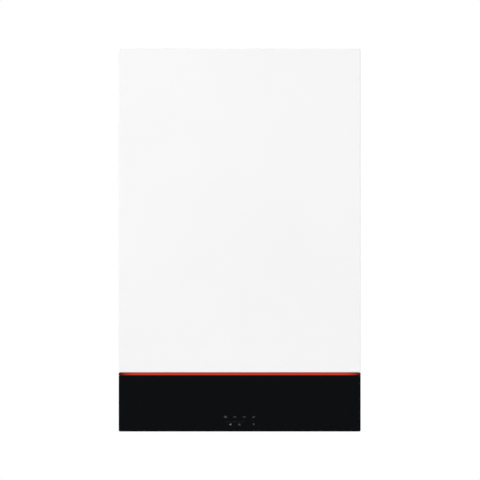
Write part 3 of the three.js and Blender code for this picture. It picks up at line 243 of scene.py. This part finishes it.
def lit_strip(name):
    """Light guide: even red that dies away towards either end and in the last millimetre of its foot."""
    mat = Mat(name)
    split = mat.nodes.new("ShaderNodeSeparateXYZ")
    mat.link(mat.coord, split.inputs["Vector"])
    inward = mat.calc("SUBTRACT", HALF_WIDTH, mat.calc("ABSOLUTE", split.outputs["X"]))
    reach = mat.calc("DIVIDE", mat.calc("MAXIMUM", inward, 0.0001), STRIP_FADE)
    falloff = mat.calc("POWER", math.e, mat.calc("MULTIPLY", mat.calc("POWER", reach, STRIP_CURVE), -1.0))
    lit = mat.calc("SUBTRACT", 1.0, falloff)
    strip_foot = round(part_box("light_guide")[0].z, 6)
    foot = mat.ramp(split.outputs["Z"], strip_foot + STRIP_DARK, strip_foot + STRIP_LIT, 0.0, 1.0)
    grain = mat.spread(mat.noise(260, 2), 0.97, 1.0)
    glow = mat.calc("MULTIPLY", mat.calc("MULTIPLY", lit, foot), grain)
    mat.link(mat.mix(glow, STRIP_OFF, STRIP_ON), mat.shader.inputs["Emission Color"])
    mat.set(Base_Color=(0.02, 0.004, 0.003, 1), Roughness=0.12)
    return mat.set(Specular_IOR_Level=0.25, Emission_Strength=1.0).material


MATS = {
    "white_paint": painted("white_paint", (0.895, 0.893, 0.898), 0.42),
    "zinc_sheet": metal("zinc_sheet", (0.56, 0.57, 0.585), 0.42, EVEN, 90, 0.9, 0.03),
    "black_glass": glass("black_glass", (0.0029, 0.0033, 0.0040), (0.0034, 0.0038, 0.0046)),
    "red_strip": lit_strip("red_strip"),
    "black_plastic": plastic("black_plastic", (0.012, 0.0125, 0.014), 0.5),
    "grey_plastic": plastic("grey_plastic", (0.62, 0.62, 0.63), 0.5),
    "white_plastic": plastic("white_plastic", (0.72, 0.73, 0.74), 0.45),
    "board_green": board("board_green"),
    "stainless": metal("stainless", (0.60, 0.60, 0.61), 0.3, DRAWN, 120, 0.86, 0.06),
    "cast_aluminium": metal("cast_aluminium", (0.55, 0.56, 0.57), 0.52, EVEN, 420, 0.78, 0.3),
    "brass": metal("brass", (0.60, 0.42, 0.16), 0.34, EVEN, 260, 0.8, 0.12),
    "copper": metal("copper", (0.72, 0.33, 0.17), 0.3, EVEN, 90, 0.75, 0.05),
    "red_paint": painted("red_paint", (0.36, 0.022, 0.015), 0.32),
    "foam": foam("foam", (0.03, 0.032, 0.035)),
    "ceramic_white": plastic("ceramic_white", (0.70, 0.67, 0.60), 0.6, 500, 0.3),
    "rubber_black": plastic("rubber_black", (0.014, 0.014, 0.015), 0.8, 900, 0.3),
    "red_cap": plastic("red_cap", (0.36, 0.025, 0.018), 0.45),
}


# ---- Finishes on the CAD nodes ----
SLOT = {sub["node"]: sub["material_slot"] for sub in frame["record"]["subparts"]}
# Walls that turn less than these angles shade as one. The wider one suits tubes of eight or ten sides and
# folded sheet, and still leaves a hexagon sharp.
EDGE = math.radians(32)
WIDE_EDGE = math.radians(52)
WIDE_NODES = (
    "front_cover", "side_panel_left", "side_panel_right", "top_panel", "flow_pipe", "return_pipe",
    "cold_water_pipe", "tank_charge_pipe", "hot_water_pipe", "gas_pipe", "vessel_hose", "condensate_hose",
    "flow_manifold", "return_manifold", "siphon", "safety_valve",
)
FLAT_NODES = (
    "cover_insulation", "back_panel", "bottom_plate", "front_rail", "wall_bracket", "hanger_rail",
    "hinge_arm_left", "hinge_arm_right", "fascia_glass", "light_guide", "fascia_carrier", "display_module",
    "control_box", "control_box_lid", "main_board", "plate_heat_exchanger",
)


def smooth(mesh):
    mesh.polygons.foreach_set("use_smooth", [True] * len(mesh.polygons))


def rounded(obj, edge):
    """Shade faceted walls as round: join the faces' corners, then part them where a wall turns more."""
    smooth(obj.data)
    join = obj.modifiers.new("join", "WELD")
    join.merge_threshold = 1e-5
    part = obj.modifiers.new("part", "EDGE_SPLIT")
    part.split_angle = edge
    part.use_edge_sharp = False
    even = obj.modifiers.new("even", "WEIGHTED_NORMAL")
    even.weight = 60


for name, obj in NODES.items():
    obj.data.materials.clear()
    obj.data.materials.append(MATS[SLOT[name]])
    if name not in FLAT_NODES:
        rounded(obj, WIDE_EDGE if name in WIDE_NODES else EDGE)


# ---- Pieces made here ----
def piece(name, verts, faces, material, body):
    """New piece that rides on a body and takes the finish it is given."""
    mesh = bpy.data.meshes.new(name)
    mesh.from_pydata(verts, [], faces)
    mesh.update()
    obj = bpy.data.objects.new(name, mesh)
    bpy.context.scene.collection.objects.link(obj)
    mesh.materials.append(material)
    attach(obj, body)
    return obj


# Edges that turn more than this, in radians, are bevelled.
BEVELLED_TURN = 0.6


def fitting(name, slot, shape, bevel=0.0):
    """Piece on the casing from a bmesh in row metres, with its sharp edges bevelled by bevel mm."""
    if bevel:
        edges = [e for e in shape.edges if len(e.link_faces) == 2 and e.calc_face_angle() > BEVELLED_TURN]
        bmesh.ops.bevel(shape, geom=edges, offset=bevel / 1000, segments=2, profile=0.6, affect="EDGES")
    bmesh.ops.recalc_face_normals(shape, faces=shape.faces)
    obj = piece(name, [], [], MATS[slot], "casing")
    shape.to_mesh(obj.data)
    shape.free()
    smooth(obj.data)
    obj.data.set_sharp_from_angle(angle=EDGE)


UP = (0, 0, 1)
ACROSS = (1, 0, 0)
INWARD = (0, 1, 0)


def lathe(shape, centre, axis, profile, sides):
    """Closed ring round a centre in row metres: profile points are (radius, distance along axis) in mm."""
    turn = Vector(UP).rotation_difference(Vector(axis)).to_matrix()
    rings = []
    for i in range(sides):
        angle = (i + 0.5) * 2 * math.pi / sides
        spoke = [Vector((r * math.cos(angle), r * math.sin(angle), d)) / 1000 for r, d in profile]
        rings.append([shape.verts.new(centre + turn @ point) for point in spoke])
    for i, ring in enumerate(rings):
        after = rings[(i + 1) % sides]
        for k in range(len(profile)):
            n = (k + 1) % len(profile)
            shape.faces.new([ring[k], after[k], after[n], ring[n]])


def sleeve(inner, outer, length):
    """Profile of a plain ring between two radii."""
    half = length / 2
    return [(inner, -half), (outer, -half), (outer, half), (inner, half)]


# ---- Straps round the store's foam ----
STORE = middle("storage_tank")
FOAM_RADIUS = round(span("tank_base")[1].x - STORE.x, 3)
STRAP_HEIGHTS = (272, 516, 762)
STRAP_WIDTH = 16
STRAP_PROUD = 0.9
STRAP_SUNK = 2
# Towards the viewer and a little to the left, where the buckles can be reached.
BUCKLE_ANGLE = math.radians(-112)
BUCKLE_SIZE = (6, 26, 21)
BUCKLE_OUT = 2.2
LEVER_OUT = 5.0


def from_store(radius, angle, z):
    """Place at a distance and angle from the store's axis."""
    return row(STORE.x + radius * math.cos(angle), STORE.y + radius * math.sin(angle), z)


def strap(name, z):
    shape = bmesh.new()
    band = sleeve(FOAM_RADIUS - STRAP_SUNK, FOAM_RADIUS + STRAP_PROUD, STRAP_WIDTH)
    lathe(shape, row(STORE.x, STORE.y, z), UP, band, 96)
    fitting(name, "black_plastic", shape)


def buckle(name, z):
    """Plate on the strap with a round lever pin over it."""
    shape = bmesh.new()
    made = bmesh.ops.create_cube(shape, size=0.001)["verts"]
    radius = FOAM_RADIUS + BUCKLE_OUT
    bmesh.ops.scale(shape, vec=BUCKLE_SIZE, verts=made)
    bmesh.ops.rotate(shape, matrix=Matrix.Rotation(BUCKLE_ANGLE, 3, "Z"), verts=made)
    bmesh.ops.translate(shape, vec=from_store(radius, BUCKLE_ANGLE, z), verts=made)
    lathe(shape, from_store(radius + LEVER_OUT, BUCKLE_ANGLE, z), UP, sleeve(1.0, 3.4, 18), 12)
    fitting(name, "grey_plastic", shape, 0.8)


for i, z in enumerate(STRAP_HEIGHTS):
    strap(f"tank_strap_{i + 1}", z)
    buckle(f"tank_buckle_{i + 1}", z)


# ---- Union nuts and hose clips ----
NUT_CHAMFER = 1.6
NUT_LAND = 1.4


def nut(name, centre, axis, bore, across, length):
    """Hexagonal union nut round a pipe's end, its outer corners chamfered."""
    corner = across / 2 / math.cos(math.pi / 6)
    half = length / 2
    profile = [
        (bore, -half), (corner - NUT_CHAMFER, -half), (corner, NUT_LAND - half),
        (corner, half - NUT_LAND), (corner - NUT_CHAMFER, half), (bore, half),
    ]
    shape = bmesh.new()
    lathe(shape, row(*centre), axis, profile, 6)
    fitting(name, "brass", shape, 0.3)


def clip(name, centre, radius):
    """Worm-drive clip round an upright hose: a band with its screw housing at one side."""
    x, y, z = centre
    shape = bmesh.new()
    lathe(shape, row(x, y, z), UP, sleeve(radius - 0.6, radius + 0.9, 9), 28)
    lathe(shape, row(x + radius + 3, y, z), INWARD, sleeve(1.2, 3.2, 12), 10)
    fitting(name, "stainless", shape)


# The drum's two ports, at its right side. The burner door lies round the drum's axis.
DRUM = middle("burner_door")
DRUM_LAP = 0.7
FLOW_PORT_Y = -170
RETURN_PORT_Y = -290
drum_side = span("heat_exchanger_housing")[1].x - DRUM_LAP
nut("nut_flow_drum", (drum_side, FLOW_PORT_Y, DRUM.z), ACROSS, 8, 27, 15)
nut("nut_return_drum", (drum_side, RETURN_PORT_Y, DRUM.z), ACROSS, 8, 27, 15)

# The ends of three pipes: flow on the diverter's block, return on the pump, gas on the valve below the fan.
PIPE_LAP = 1.7
FLOW_END_Y = -168
RETURN_END_Y = -180
GAS_END_Y = -332
flow_foot = span("flow_pipe")[0].z + PIPE_LAP
return_foot = span("return_pipe")[0].z + PIPE_LAP
gas_top = span("gas_pipe")[1].z - PIPE_LAP
nut("nut_flow_block", (middle("diverter_spindle").x, FLOW_END_Y, flow_foot), UP, 8, 25, 13)
nut("nut_return_pump", (middle("pump_impeller").x, RETURN_END_Y, return_foot), UP, 8, 25, 13)
nut("nut_gas_valve", (middle("fan_motor").x, GAS_END_Y, gas_top), UP, 7.5, 25, 12)

# Small nuts, each standing on what carries it: two on the store's lid, two behind the plate stack.
SMALL_NUT = 12
CHARGE_OFFSET = 22
HOT_OFFSET = 6
lid_nut_z = span("tank_lid")[1].z + SMALL_NUT / 2
nut("nut_tank_cold", (STORE.x + CHARGE_OFFSET, STORE.y, lid_nut_z), UP, 7, 24, SMALL_NUT)
nut("nut_tank_hot", (middle("hot_water_pipe").x, STORE.y + HOT_OFFSET, lid_nut_z), UP, 7, 24, SMALL_NUT)
STACK_PORT_X = -20
STACK_FOOT = 24
STACK_HEAD = 22
stack_low, stack_high = span("plate_heat_exchanger")
stack_nut_y = stack_high.y + SMALL_NUT / 2
nut("nut_stack_cold", (STACK_PORT_X, stack_nut_y, stack_low.z + STACK_FOOT), INWARD, 7, 23, SMALL_NUT)
nut("nut_stack_hot", (STACK_PORT_X, stack_nut_y, stack_high.z - STACK_HEAD), INWARD, 7, 23, SMALL_NUT)

# The condensate hose hangs under the drum's middle and ends on the siphon.
HOSE_RADIUS = 10
CLIP_FROM_TOP = 11.7
CLIP_FROM_FOOT = 7.7
hose_low, hose_high = span("condensate_hose")
trap = middle("siphon")
clip("clip_drain_top", (DRUM.x, hose_low.y + HOSE_RADIUS, hose_high.z - CLIP_FROM_TOP), HOSE_RADIUS)
clip("clip_drain_foot", (trap.x, trap.y, hose_low.z + CLIP_FROM_FOOT), HOSE_RADIUS)


# ---- Touch symbols printed on the glass ----
def ink(name, value):
    """Grey print, a little blue, with a fine speckle."""
    mat = Mat(name)
    mat.color(mat.mix(mat.spread(mat.noise(700, 2)), (value * 0.9,) * 3, (value, value * 1.01, value * 1.03)))
    return mat.set(Roughness=0.35, Specular_IOR_Level=0.2).material


INK = {
    "dim": ink("symbol_dim", 0.021),
    "solid": ink("symbol_solid", 0.050),
    "line": ink("symbol_line", 0.082),
    "bright": ink("symbol_bright", 0.13),
}
GLASS = span("fascia_glass")[0].y
INK_FRONT = GLASS - 0.03
INK_BACK = GLASS + 0.05


def plates(name, outlines, tone):
    """Thin closed plates printed on the glass, each from an outline of (x, z) in casing mm."""
    verts = []
    faces = []
    for outline in outlines:
        area = sum(a[0] * b[1] - b[0] * a[1] for a, b in zip(outline, outline[1:] + outline[:1]))
        ring = outline if area > 0 else outline[::-1]
        count = len(ring)
        front = [len(verts) + i for i in range(count)]
        back = [i + count for i in front]
        verts += [row(x, INK_FRONT, z) for x, z in ring]
        verts += [row(x, INK_BACK, z) for x, z in ring]
        faces += [front, back[::-1]]
        for i in range(count):
            j = (i + 1) % count
            faces.append([front[j], front[i], back[i], back[j]])
    piece(name, verts, faces, INK[tone], "control_tray")


def ribbon(points, width):
    """Outline of an even band along a run of points, with mitred corners."""
    left = []
    right = []
    for i, (x, z) in enumerate(points):
        runs = [(points[k], points[k + 1]) for k in (i - 1, i) if 0 <= k < len(points) - 1]
        normals = []
        for (x0, z0), (x1, z1) in runs:
            length = math.hypot(x1 - x0, z1 - z0)
            normals.append(((z0 - z1) / length, (x1 - x0) / length))
        nx = sum(n[0] for n in normals)
        nz = sum(n[1] for n in normals)
        size = math.hypot(nx, nz)
        nx, nz = nx / size, nz / size
        reach = width / 2 / (nx * normals[0][0] + nz * normals[0][1])
        left.append((x + nx * reach, z + nz * reach))
        right.append((x - nx * reach, z - nz * reach))
    return left + right[::-1]


def arc(cx, cz, radius, start, end, steps):
    """Points on a circle between two angles in degrees, in even steps."""
    angles = [math.radians(start + (end - start) * i / steps) for i in range(steps + 1)]
    return [(cx + radius * math.cos(a), cz + radius * math.sin(a)) for a in angles]


def bar(cx, cz, width, height):
    """Upright rectangle about its middle."""
    x0, x1 = cx - width / 2, cx + width / 2
    z0, z1 = cz - height / 2, cz + height / 2
    return [(x0, z0), (x1, z0), (x1, z1), (x0, z1)]


def placed(points, x, z):
    """Points drawn about the origin, moved to their place on the glass."""
    return [(x + dx, z + dz) for dx, dz in points]


# Columns and rows of the four keys, the bracket under them and the three lamps, and the shapes they have.
MENU_X, UP_X, DOWN_X, CONFIRM_X = -35.2, -12.0, 11.6, 34.4
BACK_X, HOME_X, DROP_X = -23.9, -0.8, 34.7
KEY_ROW, BRACKET_ROW, LAMP_ROW = 36.3, 23.8, 17.6
LINE = 0.95
ARROW_UP = [(-4.0, -1.8), (0, 1.8), (4.0, -1.8)]
ARROW_DOWN = [(-3.7, 1.8), (0, -1.8), (3.7, 1.8)]
TICK = [(-3.3, 0), (-1.0, -1.8), (3.4, 1.8)]
TRIANGLE = [(-3, 0), (3, 2.8), (3, -2.8)]
HOUSE = [(-3, -2.5), (3, -2.5), (3, 0.5), (0, 2.9), (-3, 0.5)]
DROP = [(0, 3.7)] + arc(0, 0.5, 2.3, 30, -210, 14)

plates("key_menu", [bar(MENU_X, KEY_ROW + shift, 7.2, LINE) for shift in (-1.7, 0, 1.7)], "line")
plates("key_up", [ribbon(placed(ARROW_UP, UP_X, KEY_ROW), LINE)], "line")
plates("key_down", [ribbon(placed(ARROW_DOWN, DOWN_X, KEY_ROW), LINE)], "line")
plates("key_confirm", [ribbon(placed(TICK, CONFIRM_X, KEY_ROW), 1.4)], "line")

# The bracket runs from the menu key to the down arrow, and its ticks point at the four keys.
bracket_from = MENU_X + 0.6
bracket_middle = (bracket_from + DOWN_X) / 2
plates("key_bracket", [bar(bracket_middle, BRACKET_ROW, DOWN_X - bracket_from, 0.6)], "dim")
tick_columns = (MENU_X + 1, UP_X, DOWN_X - 0.4, CONFIRM_X)
plates("key_ticks", [bar(x, BRACKET_ROW + 1.5, 0.8, 2.2) for x in tick_columns], "dim")

plates("lamp_back", [placed(TRIANGLE, BACK_X, LAMP_ROW)], "bright")
plates("lamp_home", [placed(HOUSE, HOME_X, LAMP_ROW)], "solid")
plates("lamp_drop", [placed(DROP, DROP_X, LAMP_ROW)], "solid")


# ---- Studio ----
scene = bpy.context.scene
scene.view_settings.view_transform = "Standard"
world = bpy.data.worlds.new("studio")
scene.world = world
world.use_nodes = True
sky = world.node_tree
sky.nodes.clear()
PLAIN_WHITE = (1, 1, 1, 1)


def sky_node(kind, **values):
    """A node of the world with its named inputs set; spaces in the names are underscores here."""
    node = sky.nodes.new("ShaderNode" + kind)
    for key, value in values.items():
        node.inputs[key.replace("_", " ")].default_value = value
    return node


def sky_mix(factor, if_not, if_so):
    node = sky.nodes.new("ShaderNodeMixShader")
    for socket, source in zip(node.inputs, (factor, if_not, if_so)):
        sky.links.new(source, socket)
    return node.outputs["Shader"]


paths = sky_node("LightPath")
direction = sky_node("SeparateXYZ")
sky.links.new(sky_node("TexCoord").outputs["Generated"], direction.inputs["Vector"])

# What lights the object: a little brighter from above than from below.
dome = sky_node("Background", Color=PLAIN_WHITE)
rise = sky_node("MapRange", From_Min=-1.0, From_Max=1.0, To_Min=0.63, To_Max=0.74)
sky.links.new(direction.outputs["Z"], rise.inputs["Value"])
sky.links.new(rise.outputs["Result"], dome.inputs["Strength"])

# What mirror rays see: the white backdrop behind the object, and a dim room on the camera's side.
room = sky_node("Background", Color=PLAIN_WHITE)
depth = sky_node("MapRange", From_Min=-0.95, From_Max=-0.15, To_Min=0.06, To_Max=1.0)
depth.interpolation_type = "SMOOTHSTEP"
sky.links.new(direction.outputs["Y"], depth.inputs["Value"])
sky.links.new(depth.outputs["Result"], room.inputs["Strength"])
mirror = sky_node("Math")
mirror.operation = "MAXIMUM"
sky.links.new(paths.outputs["Is Glossy Ray"], mirror.inputs[0])
sky.links.new(paths.outputs["Is Transmission Ray"], mirror.inputs[1])

# What the camera sees: plain white.
backdrop = sky_node("Background", Color=PLAIN_WHITE, Strength=1.0)
shine = sky_mix(mirror.outputs[0], dome.outputs[0], room.outputs[0])
seen = sky_mix(paths.outputs["Is Camera Ray"], shine, backdrop.outputs[0])
sky.links.new(seen, sky_node("OutputWorld").inputs["Surface"])


def lamp(name, place, aim, side, power):
    """Square area lamp turned towards a point."""
    data = bpy.data.lights.new(name, "AREA")
    data.shape = "RECTANGLE"
    data.size = side
    data.size_y = side
    data.energy = power
    obj = bpy.data.objects.new(name, data)
    scene.collection.objects.link(obj)
    obj.location = place
    obj.rotation_euler = (aim - Vector(place)).to_track_quat("-Z", "Y").to_euler()


MIDDLE_Z = round((CAD_BOX[0][2] + CAD_BOX[1][2]) / 2, 6)
CENTRE = Vector((0, FRONT / 2, MIDDLE_Z))
lamp("key", (-2.6, -3.6, 1.3), CENTRE, 2.4, 65)
lamp("fill", (3.0, -3.2, 0.0), CENTRE, 2.4, 24)
lamp("back", (0.5, 3.2, 2.2), CENTRE, 2.2, 28)

# Floor far enough below the wall-hung object to stay out of the photograph's view.
FLOOR_Z = -1.6
floor_mesh = bpy.data.meshes.new("floor")
corners = [(-4, -3.5, FLOOR_Z), (4, -3.5, FLOOR_Z), (4, 3, FLOOR_Z), (-4, 3, FLOOR_Z)]
floor_mesh.from_pydata(corners, [], [(0, 1, 2, 3)])
floor = bpy.data.objects.new("floor", floor_mesh)
scene.collection.objects.link(floor)
paint = Mat("floor")
paint.color(paint.mix(paint.noise(2, 2), (0.83, 0.83, 0.84), (0.86, 0.86, 0.865)))
floor_mesh.materials.append(paint.set(Roughness=0.9).material)

# Camera straight in front at the object's middle height, a hair to the right as in the photograph.
CAMERA_DISTANCE = 6.614
CAMERA_SHIFT = 0.0008
camera_data = bpy.data.cameras.new("camera")
camera_data.sensor_width = 36
camera_data.lens = 200
camera_data.clip_end = 60
camera = bpy.data.objects.new("camera", camera_data)
scene.collection.objects.link(camera)
camera.location = (CAMERA_SHIFT, FRONT - CAMERA_DISTANCE, MIDDLE_Z)
camera.rotation_euler = (math.radians(90), 0, 0)
scene.camera = camera
